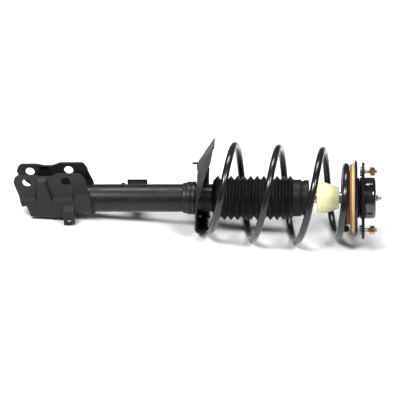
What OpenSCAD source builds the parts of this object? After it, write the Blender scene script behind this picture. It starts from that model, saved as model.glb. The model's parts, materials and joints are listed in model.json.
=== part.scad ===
// MacPherson strut assembly: damper, coil spring and rubber-bushed top mount.
// +X runs along the damper from the knuckle clevis to the top mount, +Z towards the clevis ears.
// The origin is where the damper's axis meets the outer face of the mount plate.

/* [Damper tube] */
// Outside diameter of the strut tube
tube_d = 50; // [41:0.5:60]
// Wall of the strut tube
tube_wall = 2.2; // [1.8:0.1:3]
// Length of the strut tube
tube_len = 395.5; // [329:0.5:476]
// Distance from the mount plate's face to the tube's top at full extension
tube_drop = 204.5; // [190:0.5:246]
// Bore of the inner pressure tube
bore_d = 32; // [26:0.5:34]
// Wall of the inner pressure tube
bore_wall = 1.5; // [1:0.1:2.5]

/* [Piston rod] */
// Diameter of the chromed rod
rod_d = 20; // [16:0.5:22]
// Diameter of the rod's threaded end
thread_d = 12; // [10:0.5:14]
// Height of the thread's end above the mount plate
thread_top = 24.6; // [22:0.1:30]
// Diameter of the tip that holds the rod still while its nut is tightened
tip_d = 7; // [5:0.5:9]
// Length of the tip
tip_len = 5.8; // [4:0.1:8]
// Length of the piston
piston_len = 18; // [14:0.5:24]
// Distance from the rebound stop to the piston
rebound_spacer = 66; // [40:1:90]

/* [Clevis bracket] */
// Thickness of the bracket's steel
plate_t = 4.2; // [3.5:0.1:5]
// Gap between the two ears, which takes the knuckle
ear_gap = 36; // [30:0.5:43]
// Diameter of the two knuckle bolt holes
bolt_hole_d = 16.8; // [12.2:0.1:20.2]
// Distance between the two knuckle bolt holes
bolt_spacing = 70.5; // [58.5:0.5:85]
// Height of the lower bolt hole above the damper's axis
bolt_low_z = 44; // [42:0.5:50]
// Height of the upper bolt hole above the damper's axis
bolt_high_z = 47; // [42:0.5:52]
// Distance from the tube's closed end down to the lower bolt hole
bolt_overhang = 1; // [0.5:0.5:5]
// Radius of the bracket's two boxed lower corners
boxed_corner_r = 13; // [9:0.5:16]
// Width of the brake-hose tab
tab_w = 20.5; // [16:0.5:25]
// Thickness of the brake-hose tab
tab_t = 3; // [2:0.1:4]
// Diameter of the hole in the brake-hose tab
tab_hole_d = 8.5; // [6:0.1:10.2]
// Length of the wiring bracket on the far side of the tube
link_len = 36.5; // [30:0.5:44]
// Height of the wiring bracket across the tube
link_h = 30; // [25:0.5:34]
// Diameter of the hole in the wiring bracket
link_hole_d = 12; // [8:0.5:14.5]

/* [Lower spring seat] */
// Radius of the seat's flat pan
pan_r = 64; // [60:0.5:77]
// Thickness of the seat's steel
seat_t = 3; // [2.5:0.1:3.6]
// Distance from the tube's top down to the back of the pan
seat_drop = 96.5; // [90:0.5:104]
// Radius of the raised wing, about the spring's axis
wing_r = 94; // [90:0.5:98]
// Height of the wing's tip over the back of the pan
wing_h = 28; // [23:0.5:34]
// Height of the low wall that keeps the end coil in
wall_h = 16; // [12:0.5:16.5]

/* [Coil spring] */
// Diameter of the spring's wire
wire_d = 12.3; // [10.2:0.1:13.5]
// Mean radius of the spring's free coils
coil_r = 82.3; // [78:0.1:86]
// Mean radius of the lower end coil
coil_low_r = 65.5; // [62:0.5:68]
// Mean radius of the upper end coil
coil_top_r = 55.8; // [54:0.1:60]
// Half turns of the spring above the point where it leaves the lower seat
half_turns = 8; // [7:1:10]
// Half turns of the lower end coil that lie in the seat
seated_turns = 0.7; // [0.5:0.05:0.8]
// Slope of the spring's axis towards -Y at the lower seat, in degrees
lean_side = 2.04; // [0:0.01:3]
// Slope of the spring's axis towards +Z at the lower seat, in degrees
lean_up = 4.87; // [3:0.01:6]
// Thickness of the rubber pad under the lower end coil
pad_t = 3; // [2:0.1:4]

/* [Dust boot and bump stop] */
// Number of the boot's folds
folds = 12; // [9:1:13]
// Outside diameter over the boot's folds
fold_d = 81; // [76:0.5:84]
// Outside diameter between the boot's folds
valley_d = 65.4; // [64:0.2:70]
// Distance between two folds
fold_pitch = 11.8; // [10:0.1:12.2]
// Wall of the boot's rubber
boot_wall = 1.8; // [1.4:0.1:2.2]
// Largest diameter of the bump stop
bump_d = 56.6; // [47:0.2:57]
// Diameter of the bump stop's narrow end
bump_end_d = 38; // [32:0.5:44]
// Length of the bump stop
bump_len = 39.7; // [33:0.1:48]
// Distance from the mount plate's face to the bump stop's narrow end
bump_drop = 44.8; // [40:0.1:54]

/* [Upper spring seat] */
// Diameter of the steel upper seat
upper_seat_d = 136; // [131:0.5:142]
// Diameter of the rubber isolator's flange
isolator_d = 126; // [122:0.5:126.4]
// Diameter of the isolator's collar, which centres the top coil
collar_d = 95; // [84:0.5:96]
// Number of balls in the bearing
balls = 28; // [18:1:34]
// Diameter of the bearing's balls
ball_d = 4; // [3.4:0.1:4.8]

/* [Top mount] */
// Diameter of the circle that the three studs stand on
stud_circle_d = 121.2; // [110:0.1:146]
// Angle of the first stud, from -Y towards +Z
stud_angle = 80.9; // [0:0.1:119]
// Diameter of the studs
stud_d = 8; // [6.6:0.1:10]
// Height of the studs over the mount plate
stud_len = 22; // [19:0.5:28]
// Radius of the plate's three lobes
lobe_r = 16; // [14:0.5:19.2]
// Thickness of each of the mount's two plates
mount_t = 2.55; // [2:0.05:3.1]
// Outside diameter of the mount's cup
cup_d = 74; // [70:0.5:84]
// Height of the mount's cup
cup_h = 20; // [18.5:0.5:24]
// Radius of the cup's outer edge
cup_edge_r = 6; // [4:0.5:8]
// Diameter of the opening in the top of the cup
cup_mouth_d = 46; // [42:0.5:52]
// Distance from the mount plate to the loosely run-on stud nuts
nut_gap = 9; // [6:0.5:10.8]
// Width across the flats of the stud nuts
nut_flats = 13; // [11:0.5:15.6]

/* [Hidden] */
$fn = 96;

// Running clearance of a shaft in its bore, and the space between parts that move past each other
run = 0.05;
air = 0.3;

tube_r = tube_d / 2;
tube_ri = tube_r - tube_wall;
tube_x1 = -tube_drop;
tube_x0 = tube_x1 - tube_len;
rod_r = rod_d / 2;
thread_r = thread_d / 2;
bore_r = bore_d / 2;

// Closing parts at the top of the tube, from its rolled lip downwards
lip_t = 1.6;
lip_w = 4;
cap_x = tube_x1 - lip_t;
cap_t = 2;
seal_x = cap_x - cap_t;
seal_t = 7;
guide_x = seal_x - seal_t;
guide_t = 8;
bore_x1 = guide_x - guide_t;
spigot_len = 10;
guide_x0 = bore_x1 - spigot_len;

// Parts at the closed end of the tube
base_t = 5;
base_dish = 2.5;
valve_x = tube_x0 + base_t;
valve_t = 8;
bore_x0 = valve_x + valve_t;

// Parts on the rod, inside the pressure tube
stop_len = 12;
stop_wall = 4;
stop_x = guide_x0 - air - stop_len;
piston_x = stop_x - rebound_spacer;
band_t = 0.75;
band_len = 10;
piston_r = bore_r - run - band_t;
piston_nut_t = 9;
piston_nut_flats = 19;
rod_x0 = piston_x - piston_len - piston_nut_t - 3;

// Clevis bracket: its sides, its ears and the places along the tube
side_r = tube_r + plate_t;
ear_y = ear_gap / 2 + plate_t;
low_x = tube_x0 - bolt_overhang;
high_x = low_x + bolt_spacing;
bracket_x1 = high_x + 43.5;
boxed_x1 = high_x + 15.5;
bolt_r = bolt_hole_d / 2;
above = 90;
beyond = 40;
press_depth = side_r - ear_y;
press_mid_z = 35;
fold_z = 17.5;
rib_top_z = 54;
shoulder_z = 46;
tab_x0 = high_x - 7.7;
tab_x1 = tab_x0 + tab_w;
tab_reach = 8;
tab_bend_z = -9;
tab_foot_z = -36;
tab_hole_z = -25;
link_x0 = tube_x0 + 171.5;
link_y = tube_r + 13.5;
link_t = 2.5;

// Upper seat and bearing, downwards from the mount's lower plate
plates_x = -2 * mount_t;
race_ri = 24;
race_r = 33.5;
upper_race_r = 37.3;
race_x = plates_x - 3.3;
lower_race_x = race_x - air;
seat_face_x = lower_race_x - 3.7;
ball_circle_r = (race_ri + race_r) / 2;
upper_seat_t = 2.6;
upper_seat_r = upper_seat_d / 2;
seat_neck_r = 22.4;
isolator_x = seat_face_x - upper_seat_t;
flange_x = isolator_x - 7.4;
land_x = flange_x - 3.5;
collar_x = land_x - 5.6;
land_r = coil_top_r + 4.2;

// Lower seat: its frame stands on the damper's axis, square to the spring's axis
pan_x = tube_x1 - seat_drop;
pan_z = 4.4;
meet_x = -15;
axis_cos = cos(lean_up) * cos(lean_side);
spring_y = (pan_x - meet_x) * sin(lean_side);
spring_z = (meet_x - pan_x) * sin(lean_up) * cos(lean_side);
wing_angle = 59;
wing_x = wing_h - 1;
crease_x = 12;
wall_from = 334;
wall_sweep = 118;
drain_d = 6;
drain_turn = 23;
collar_len = 22;
clip_d = 4.3;
clip_r = 62;
clip_pin_len = 10;
clip_y = clip_r * cos(wing_angle);
clip_z = clip_r * sin(wing_angle);

// Spring: distances along its own axis, counted from where that axis meets the damper's
wire_r = wire_d / 2;
first_turn_angle = 239;
end_rise = wire_r;
coil_gap = 0.9;
ease_turns = 0.6;
free_turns = half_turns - 2.4;
low_s = (pan_x - meet_x) * axis_cos + seat_t + pad_t + wire_r;
last_angle = first_turn_angle - 180 * half_turns;
last_x = coil_top_r * (sin(last_angle) * sin(lean_up) * cos(lean_side) - cos(last_angle) * sin(lean_side));
top_s = (land_x - wire_r - coil_gap - meet_x - last_x) / axis_cos;
closed_turns = half_turns - free_turns - ease_turns / 2;
half_pitch = (top_s - low_s - end_rise * closed_turns) / (seated_turns / 2 + free_turns + ease_turns / 2);

// Boot: its folds start above the neck that grips the tube
boot_x0 = tube_x1 - 65.3;
boot_x1 = boot_x0 + 171;
neck_len = 4;
first_fold = boot_x0 + 7.9;
fold_r = fold_d / 2;
valley_r = valley_d / 2;
last_valley = first_fold + (folds - 0.5) * fold_pitch;
cuff_r = 33;
cuff_neck_r = 30.5;
lip_r = 32;

// Top mount
stud_r = stud_d / 2;
knurl_r = stud_r + 0.3;
thread_stud_r = stud_r - 0.15;
stud_circle_r = stud_circle_d / 2;
stud_head_r = 8.5;
stud_head_t = 3.5;
nut_flange_r = 9;
nut_flange_t = 2.7;
nut_h = 9;
cup_r = cup_d / 2;
cup_wall = 2.5;
plate_hole_r = 26;
shoulder_x = -2.5;
core_r = 12;
core_top = 7;
core_disc_r = 24;
rod_nut_flats = 18;
rod_washer_r = 19;
rod_washer_t = 2.5;
rod_nut_t = 8.5;

// Smooth step from 0 to 1
function ease(t) = let (u = max(0, min(1, t))) u * u * (3 - 2 * u);

// Points of an arc about [r, x], for the rounded edge of a turned profile
function arc(r, x, size, from, to, steps = 8) =
    [for (i = [0:steps]) let (a = from + (to - from) * i / steps) [r + size * cos(a), x + size * sin(a)]];

// A profile of [radius, x] points turned about the damper's axis
module turned(points, sweep = 360, from = 0)
    rotate([0, 90, 0]) rotate_extrude(angle = sweep, start = from) polygon(points);

// A round bar along X, or a ring with a hole
module ring(r, x0, x1, hole = 0)
    turned([[hole, x0], [r, x0], [r, x1], [hole, x1]]);

// A flat shape drawn in Y and Z, made solid from x0 to x1
module along_x(x0, x1)
    translate([x0, 0, 0]) rotate([90, 0, 90]) linear_extrude(x1 - x0) children();

// A flat shape drawn in X and Z, made solid from y0 to y1
module along_y(y0, y1)
    translate([0, y1, 0]) rotate([90, 0, 0]) linear_extrude(y1 - y0) children();

// A hexagonal nut along X with a plain bore
module hex_nut(flats, x0, x1, hole)
    difference() {
        translate([x0, 0, 0]) rotate([0, 90, 0]) cylinder(h = x1 - x0, d = flats / cos(30), $fn = 6);
        ring(hole, x0 - 1, x1 + 1);
    }

// The three stud places
module at_studs()
    for (i = [0:2])
        let (a = stud_angle + 120 * i)
        translate([0, -stud_circle_r * cos(a), stud_circle_r * sin(a)]) children();

// The lower seat's frame: X square to the pan, which is at its origin
module pan_frame() translate([pan_x, 0, 0]) rotate([0, lean_up, lean_side]) children();

// The spring's frame: X along the spring's axis
module spring_frame() translate([meet_x, 0, 0]) rotate([0, lean_up, lean_side]) children();

// ---- Damper ----

module strut_tube()
    color([0.09, 0.09, 0.10])
    turned([
        [tube_ri, tube_x0], [tube_r, tube_x0], [tube_r, tube_x1 - 1.5], [tube_r - 1.5, tube_x1],
        [tube_ri - lip_w, tube_x1], [tube_ri - lip_w, cap_x], [tube_ri, cap_x]
    ]);

module tube_base_cap()
    color([0.12, 0.12, 0.13])
    turned([
        [0, tube_x0 + base_dish], [tube_ri - 5, tube_x0 + base_dish], [tube_ri - 2, tube_x0],
        [tube_ri, tube_x0], [tube_ri, valve_x], [0, valve_x]
    ]);

module base_valve()
    color([0.55, 0.56, 0.58])
    union() {
        ring(tube_ri, valve_x, bore_x0);
        ring(bore_r, bore_x0, bore_x0 + spigot_len, 3);
    }

module pressure_tube()
    color([0.60, 0.61, 0.63])
    ring(bore_r + bore_wall, bore_x0, bore_x1, bore_r);

module rod_guide()
    color([0.50, 0.50, 0.48])
    turned([
        [rod_r + run, guide_x0], [bore_r, guide_x0], [bore_r, bore_x1], [tube_ri, bore_x1],
        [tube_ri, guide_x], [rod_r + run, guide_x]
    ]);

module oil_seal()
    color([0.10, 0.08, 0.06])
    ring(tube_ri, guide_x, seal_x, rod_r + run);

module tube_cap()
    color([0.10, 0.10, 0.11])
    ring(tube_ri, seal_x, cap_x, rod_r + 1);

module piston_rod()
    color([0.80, 0.80, 0.82])
    turned([
        [0, rod_x0], [thread_r, rod_x0], [thread_r, piston_x], [rod_r, piston_x],
        [rod_r, shoulder_x], [thread_r, shoulder_x], [thread_r, thread_top - 1], [thread_r - 1, thread_top],
        [tip_d / 2, thread_top], [tip_d / 2, thread_top + tip_len - 0.5],
        [tip_d / 2 - 0.5, thread_top + tip_len], [0, thread_top + tip_len]
    ]);

module piston()
    color([0.45, 0.45, 0.44])
    ring(piston_r, piston_x - piston_len, piston_x, thread_r);

module piston_band()
    color([0.25, 0.40, 0.30])
    ring(bore_r - run, piston_x - (piston_len + band_len) / 2, piston_x - (piston_len - band_len) / 2, piston_r);

module piston_nut()
    color([0.55, 0.55, 0.57])
    hex_nut(piston_nut_flats, piston_x - piston_len - piston_nut_t, piston_x - piston_len, thread_r);

module rebound_stop()
    color([0.12, 0.12, 0.12])
    ring(rod_r + stop_wall, stop_x, stop_x + stop_len, rod_r);

// ---- Clevis bracket ----

// Side outline of the bracket: ears, sloping lower end and the stretch that wraps the tube
module bracket_side()
    polygon([
        [low_x - 24.5, bolt_low_z + 1], [low_x - 21.5, bolt_low_z + 10], [low_x - 15, bolt_low_z + 15.5],
        [low_x + 13, bolt_low_z + 15.5], [low_x + 28, bolt_low_z + 12.5], [high_x - 29.5, bolt_low_z + 12.5],
        [high_x - 13.5, bolt_high_z + 15.7], [high_x + 24.5, bolt_high_z + 15.7],
        [high_x + 28.5, bolt_high_z + 13.5], [high_x + 34, bolt_high_z + 4], [high_x + 36.5, bolt_high_z - 9],
        [bracket_x1 - 1, 17], [bracket_x1, 0], [bracket_x1, -beyond], [tube_x0 + 7, -beyond],
        [tube_x0 + 7, -side_r], [tube_x0 + 0.5, -20], [tube_x0, -14], [tube_x0 - 4.5, 0], [tube_x0 - 12.5, -2]
    ]);

// The far ear stops short of the tube's closed end
module far_ear_notch()
    along_y(0, side_r + 1)
    polygon([
        [low_x - beyond, 30], [low_x - 13, 30], [low_x - 11, 24], [tube_x0 - 1, 15],
        [tube_x0 - 1, -beyond], [low_x - beyond, -beyond]
    ]);

// Solid block of the bracket, boxed below the ears and round where it leaves the tube
module bracket_block(half, corner) {
    along_x(low_x - beyond, boxed_x1)
        polygon(concat(
            [[-half, above], [half, above]],
            arc(half - corner, corner - half, corner, 0, -90),
            arc(corner - half, corner - half, corner, -90, -180)
        ));
    along_x(boxed_x1, bracket_x1 + 1)
        polygon(concat([[-half, above], [half, above]], arc(0, 0, half, 0, -180, 32)));
}

// A sloping wall goes from one place at the pressing's floor to another outside the side's face.
// Its outline is carried a little past both, and is filled out to a far place.
function slope(y_side, at_floor, outside, far) =
    let (floor_y = y_side - press_depth, past = (outside - at_floor) / (press_depth + 1))
    [[at_floor - past, floor_y - 1], [outside, y_side + 1], [far, y_side + 1], [far, floor_y - 1]];

// A wall that stands across X, and leans
module beside(points, lean)
    translate([0, 0, press_mid_z]) rotate([0, lean, 0]) translate([0, 0, -2 * above]) linear_extrude(4 * above)
    polygon(points);

// A wall that lies across Z, from x0 to x1
module under(points, x0, x1) along_x(x0, x1) polygon([for (p = points) [p[1], p[0]]]);

// The pressing that brings a side in to its ear's plane. A rib is left between the two bolt pads,
// and the side stays out where it starts to wrap the tube.
module pressed_side(y_side) {
    x0 = low_x - beyond - 5;
    x1 = bracket_x1 + 5;
    difference() {
        along_x(x0, x1)
            polygon([
                [y_side - press_depth, fold_z], [y_side + 1, fold_z - 12],
                [y_side + 1, 2 * above], [y_side - press_depth, 2 * above]
            ]);
        intersection() {
            beside(slope(y_side, low_x + 19, low_x + 25, x1), 7);
            beside(slope(y_side, high_x - 13, high_x - 17.5, x0), -14);
            under(slope(y_side, rib_top_z, rib_top_z - 5, 0), x0 - 1, x1 + 1);
        }
        intersection() {
            beside(slope(y_side, high_x + 14.5, high_x + 20, x1 + beyond), 6);
            under(slope(y_side, shoulder_z, shoulder_z - 26, -above), x0 - 1, x1 + 1);
        }
    }
}

module bracket_block_pressed(half, corner)
    difference() {
        bracket_block(half, corner);
        pressed_side(half);
        mirror([0, 1, 0]) pressed_side(half);
    }

module bracket_shell()
    difference() {
        intersection() {
            bracket_block_pressed(side_r, boxed_corner_r);
            along_y(-side_r - 1, side_r + 1) bracket_side();
        }
        bracket_block_pressed(tube_r, boxed_corner_r - plate_t);
        ring(tube_r, low_x - beyond, bracket_x1 + 1);
        far_ear_notch();
    }

module knuckle_bracket()
    color([0.08, 0.08, 0.09])
    difference() {
        bracket_shell();
        for (p = [[low_x, bolt_low_z], [high_x, bolt_high_z]])
            translate([p[0], 0, p[1]]) rotate([90, 0, 0]) cylinder(h = 3 * side_r, r = bolt_r, center = true);
    }

module bracket_weld()
    color([0.10, 0.10, 0.11])
    turned([[tube_r, bracket_x1], [side_r - 0.8, bracket_x1], [tube_r, bracket_x1 + 4]], 250, -125);

module hose_tab()
    color([0.08, 0.08, 0.09])
    difference() {
        along_x(tab_x0, tab_x1)
            polygon([
                [-side_r, 2], [-side_r - tab_reach, tab_bend_z], [-side_r - tab_reach, tab_foot_z],
                [-side_r - tab_reach + tab_t, tab_foot_z], [-side_r - tab_reach + tab_t, tab_bend_z - 1.5],
                [-side_r, 2 - tab_t - 1]
            ]);
        along_y(-2 * side_r, 0)
            polygon([[tab_x0 + 8, tab_foot_z - 1], [tab_x1 + 1, tab_foot_z + 4.5], [tab_x1 + 1, tab_foot_z - 1]]);
        translate([(tab_x0 + tab_x1) / 2, 0, tab_hole_z]) rotate([90, 0, 0])
            cylinder(h = 3 * side_r, d = tab_hole_d);
    }

module link_bracket()
    color([0.09, 0.09, 0.10])
    difference() {
        union() {
            along_x(link_x0, link_x0 + link_len)
                translate([link_y, -link_h / 2]) square([link_t, link_h]);
            for (z = [-10.5, 8])
                along_x(link_x0 + 3, link_x0 + link_len - 3) translate([0, z]) square([link_y + 1, link_t]);
        }
        ring(tube_r, link_x0 - 1, link_x0 + link_len + 1);
        translate([link_x0 + link_len / 2, 0, 0]) rotate([-90, 0, 0]) cylinder(h = 2 * link_y, d = link_hole_d);
    }

module wire_nub()
    color([0.09, 0.09, 0.10])
    difference() {
        rotate([wing_angle - 90 - 8, 0, 0]) translate([link_x0 - 8, 0, tube_r + 1])
            rotate([0, 90, 0]) cylinder(h = 7, r = 1.8);
        ring(tube_r, link_x0 - 9, link_x0);
    }

// ---- Lower spring seat ----

module seat_collar()
    color([0.09, 0.09, 0.10])
    difference() {
        turned([
            [tube_r, pan_x - collar_len], [tube_r + 2.5, pan_x - collar_len], [tube_r + 4.5, pan_x - collar_len + 7],
            [tube_r + 5, pan_x + 5], [tube_r, pan_x + 5]
        ]);
        pan_frame() translate([0, -pan_r, -pan_r]) cube(2 * pan_r);
    }

// A disc of the seat, with its centre given in the pan's frame
module seat_disc(r, x, y, z, t = 1) translate([x, y, z]) rotate([0, 90, 0]) cylinder(h = t, r = r, $fn = 72);

// The dish up to the wing's tip, as a solid grown inwards by gap
module dish(gap)
    hull() {
        seat_disc(pan_r - 2 - gap, gap, 0, pan_z);
        seat_disc(pan_r + 8 - gap, crease_x + gap, spring_y / 3, pan_z + spring_z / 4);
        seat_disc(wing_r - gap, wing_x, spring_y, spring_z, 1 + (gap > 0 ? 1 : 0));
    }

module lower_spring_seat()
    color([0.08, 0.08, 0.09])
    difference() {
        pan_frame() difference() {
            union() {
                difference() {
                    dish(0);
                    dish(seat_t);
                    // The rim slopes down from the wing to the pan on both sides
                    rotate([wing_angle - 90, 0, 0]) along_y(-2 * wing_r, 2 * wing_r)
                        polygon([
                            [seat_t, -2 * wing_r], [seat_t, -9], [seat_t + 4, 4], [wing_h - 5, 68],
                            [wing_h - 2, 90], [2 * wing_h, 90], [2 * wing_h, -2 * wing_r]
                        ]);
                }
                seat_disc(pan_r - 2, 0, 0, pan_z, seat_t);
                translate([0, 0, pan_z]) rotate([0, 90, 0])
                    rotate_extrude(angle = wall_sweep, start = wall_from)
                    translate([pan_r - seat_t, 0]) square([seat_t, seat_t + wall_h]);
            }
            // Harness clip hole, wing slot and drain hole
            translate([-1, clip_y, clip_z]) rotate([0, 90, 0]) cylinder(h = seat_t + 2, d = clip_d + 2 * run);
            rotate([wing_angle - 90 + 30, 0, 0]) translate([wing_h / 2 - 2, 0, pan_r + 16]) rotate([0, 35, 0])
                cube([9, 2, 30], center = true);
            translate([seat_t + drain_d, 0, pan_z]) rotate([drain_turn, 0, 0]) translate([0, 0, -2 * pan_r])
                cylinder(h = 2 * pan_r, d = drain_d);
        }
        ring(tube_r, pan_x - 20, pan_x + 20);
    }

module harness_clip()
    color([0.10, 0.10, 0.10])
    pan_frame() {
        translate([-clip_pin_len, clip_y, clip_z]) rotate([0, 90, 0]) cylinder(h = clip_pin_len + seat_t + 2, d = clip_d);
        rotate([wing_angle - 90, 0, 0]) translate([-1.8, -2, clip_r - 12]) cube([1.7, 4, 12]);
    }

// ---- Spring ----

// Distance of the wire's centre along the spring's axis after k half turns
function rise(k) =
    k < 0 ? low_s + half_pitch * pow(k + seated_turns, 2) / (2 * seated_turns) :
    let (
        straight = min(k, free_turns),
        eased = max(0, min(k - free_turns, ease_turns)),
        closed = max(0, k - free_turns - ease_turns)
    )
    low_s + half_pitch * (seated_turns / 2 + straight + eased)
        - (half_pitch - end_rise) * eased * eased / (2 * ease_turns) + end_rise * closed;

// Mean radius of the coil after k half turns
function swing(k) =
    coil_low_r + (coil_r - coil_low_r) * ease((k + 0.9) / 1.9)
        + (coil_top_r - coil_r) * ease((k - half_turns + 2.8) / 1.6);

// The wire's section at k: its points are [outwards, upwards] from the wire's centre
function coil_section(k, section) =
    let (
        a = first_turn_angle - 180 * k,
        out = [0, cos(a), sin(a)],
        step = 0.01,
        forward = [rise(k + step) - rise(k - step), swing(k) * PI * 2 * step * sin(a), -swing(k) * PI * 2 * step * cos(a)],
        ahead = forward / norm(forward),
        up = cross(out, ahead)
    )
    [for (p = section) [rise(k), 0, 0] + (swing(k) + p[0]) * out + p[1] * up];

// A section carried along the coil from one half turn to another
module along_coil(section, from, to, rings) {
    n = len(section);
    sections = [for (i = [0:rings]) coil_section(from + (to - from) * i / rings, section)];
    polyhedron(
        points = [for (s = sections) each s],
        faces = concat(
            [[for (j = [n - 1:-1:0]) j]],
            [for (i = [0:rings - 1]) for (j = [0:n - 1]) [i * n + j, (i + 1) * n + (j + 1) % n, (i + 1) * n + j]],
            [for (i = [0:rings - 1]) for (j = [0:n - 1]) [i * n + j, i * n + (j + 1) % n, (i + 1) * n + (j + 1) % n]],
            [[for (j = [0:n - 1]) rings * n + j]]
        )
    );
}

module coil_spring()
    color([0.05, 0.05, 0.06])
    spring_frame()
    along_coil([for (i = [0:11]) wire_r * [cos(30 * i), sin(30 * i)]], -seated_turns, half_turns,
        14 * round(half_turns + seated_turns));

module lower_spring_pad()
    color([0.07, 0.07, 0.07])
    spring_frame()
    along_coil(
        concat(
            [for (i = [0:6]) (wire_r + air) * [cos(20 * i - 150), sin(20 * i - 150)]],
            [for (i = [6:-1:0]) (wire_r + pad_t) * [cos(20 * i - 150), sin(20 * i - 150)]]
        ),
        -seated_turns, -0.25, 10
    );

// ---- Boot and bump stop ----

module dust_boot()
    color([0.05, 0.05, 0.05])
    turned(concat(
        [[tube_r, boot_x0], [valley_r - 2, boot_x0], [valley_r, boot_x0 + 1.5]],
        [for (i = [0:folds - 1]) each [
            [fold_r, first_fold + i * fold_pitch],
            [valley_r, first_fold + (i + 0.5) * fold_pitch]
        ]],
        [[cuff_r, last_valley + 1], [cuff_r, boot_x1 - 14], [cuff_neck_r, boot_x1 - 12.6],
         [cuff_neck_r, boot_x1 - 10.6], [lip_r - 1, boot_x1 - 9.8], [lip_r, boot_x1 - 7.5], [lip_r, boot_x1 - 2.5],
         [lip_r - 1.5, boot_x1], [cuff_neck_r - boot_wall, boot_x1], [cuff_neck_r - boot_wall, boot_x1 - 13.5],
         [cuff_r - boot_wall, boot_x1 - 15], [cuff_r - boot_wall, last_valley + 1]],
        [for (i = [folds - 1:-1:0]) each [
            [valley_r - boot_wall, first_fold + (i + 0.5) * fold_pitch],
            [fold_r - 1.6 * boot_wall, first_fold + i * fold_pitch]
        ]],
        [[valley_r - boot_wall, boot_x0 + neck_len], [tube_r, boot_x0 + neck_len]]
    ));

module bump_stop()
    color([0.93, 0.91, 0.72])
    let (x0 = -bump_drop - bump_len, x1 = -bump_drop, r = bump_d / 2, end_r = bump_end_d / 2, edge = 7)
    turned(concat(
        [[rod_r, x0], [r - edge, x0]],
        arc(r - edge, x0 + edge, edge, -60, 0),
        arc(r - edge, x0 + 12, edge, 0, 22),
        arc(end_r - 2, x1 - 2, 2, 22, 90, 4),
        [[rod_r, x1]]
    ));

// ---- Upper spring seat and bearing ----

module upper_isolator()
    color([0.62, 0.45, 0.24])
    let (r = isolator_d / 2, c = collar_d / 2)
    turned([
        [seat_neck_r, isolator_x], [r, isolator_x], [r, flange_x + 1], [r - 1, flange_x], [land_r, flange_x],
        [land_r, land_x], [c, land_x], [c, collar_x + 2], [c - 2, collar_x], [c - 10, collar_x],
        [c - 12, land_x], [seat_neck_r, land_x]
    ]);

module upper_spring_seat()
    color([0.07, 0.07, 0.08])
    let (r = upper_seat_r)
    turned([
        [seat_neck_r - 2.4, land_x + 2], [seat_neck_r, land_x + 2], [seat_neck_r, isolator_x],
        [r - 4.7, isolator_x], [r - 2.2, isolator_x - 2.5], [r, isolator_x - 2.5], [r, isolator_x - 1.4],
        [r - 3.5, seat_face_x], [seat_neck_r - 2.4, seat_face_x]
    ]);

// The groove that the balls run in, in both races
module ball_groove()
    rotate([0, 90, 0]) rotate_extrude()
    translate([ball_circle_r, race_x - air / 2]) circle(ball_d / 2 + run, $fn = 32);

module bearing_lower_race()
    color([0.10, 0.10, 0.11])
    difference() {
        ring(race_r, seat_face_x, lower_race_x, race_ri);
        ball_groove();
    }

module bearing_upper_race()
    color([0.08, 0.08, 0.09])
    difference() {
        turned([
            [race_ri, race_x], [upper_race_r - 1.8, race_x], [upper_race_r, race_x + 2.2],
            [upper_race_r, plates_x], [race_ri, plates_x]
        ]);
        ball_groove();
    }

module bearing_balls()
    color([0.75, 0.76, 0.78])
    for (i = [0:balls - 1])
        rotate([360 * i / balls, 0, 0]) translate([race_x - air / 2, 0, ball_circle_r]) sphere(d = ball_d, $fn = 24);

module bearing_seal()
    color([0.05, 0.05, 0.05])
    turned([
        [race_r, seat_face_x], [race_r + 2, seat_face_x], [race_r + 2.4, lower_race_x - 1],
        [race_r + 1.6, lower_race_x - 0.4], [race_r, lower_race_x - 0.4]
    ]);

// ---- Top mount ----

// Outline of the mount's plates: three lobes joined by straight sides
module plate_outline()
    hull() for (i = [0:2])
        let (a = stud_angle + 120 * i)
        translate([-stud_circle_r * cos(a), stud_circle_r * sin(a)]) circle(lobe_r, $fn = 48);

module mount_sheet(x0, x1)
    difference() {
        along_x(x0, x1) plate_outline();
        ring(plate_hole_r, x0 - 1, x1 + 1);
        at_studs() ring(knurl_r, x0 - 1, x1 + 1);
    }

module mount_plate() color([0.06, 0.06, 0.07]) mount_sheet(-mount_t, 0);

module mount_lower_plate() color([0.06, 0.06, 0.07]) mount_sheet(plates_x, -mount_t);

module mount_cup()
    color([0.04, 0.04, 0.05])
    let (inner = cup_edge_r - cup_wall, mouth = cup_mouth_d / 2)
    turned(concat(
        [[cup_r, 0]],
        arc(cup_r - cup_edge_r, cup_h - cup_edge_r, cup_edge_r, 0, 90),
        [[mouth, cup_h], [mouth, cup_h - cup_wall]],
        arc(cup_r - cup_edge_r, cup_h - cup_edge_r, inner, 90, 0),
        [[cup_r - cup_wall, 0]]
    ));

module mount_core()
    color([0.50, 0.50, 0.52])
    turned([
        [thread_r, shoulder_x], [core_r, shoulder_x], [core_r, 2], [core_disc_r, 2], [core_disc_r, 4.5],
        [core_r, 4.5], [core_r, core_top], [thread_r, core_top]
    ]);

module mount_rubber()
    color([0.06, 0.06, 0.06])
    let (r = cup_r - cup_wall, top = cup_h - cup_edge_r)
    turned([
        [core_r, shoulder_x], [plate_hole_r - 3, plates_x], [plate_hole_r, plates_x], [plate_hole_r, 0],
        [r, 0], [r, top - 1], [r - 3, top], [core_disc_r + 3, top], [core_disc_r, top - 3], [rod_washer_r + 1, core_top - 1],
        [core_r, core_top - 1], [core_r, 4.5], [core_disc_r, 4.5], [core_disc_r, 2], [core_r, 2]
    ]);

module mount_studs()
    color([0.62, 0.60, 0.52])
    at_studs() turned([
        [0, plates_x - stud_head_t], [stud_head_r, plates_x - stud_head_t], [stud_head_r, plates_x],
        [knurl_r, plates_x], [knurl_r, 0], [stud_r, 0], [stud_r, nut_gap], [thread_stud_r, nut_gap],
        [thread_stud_r, stud_len - 1],
        [thread_stud_r - 1, stud_len], [0, stud_len]
    ]);

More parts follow.
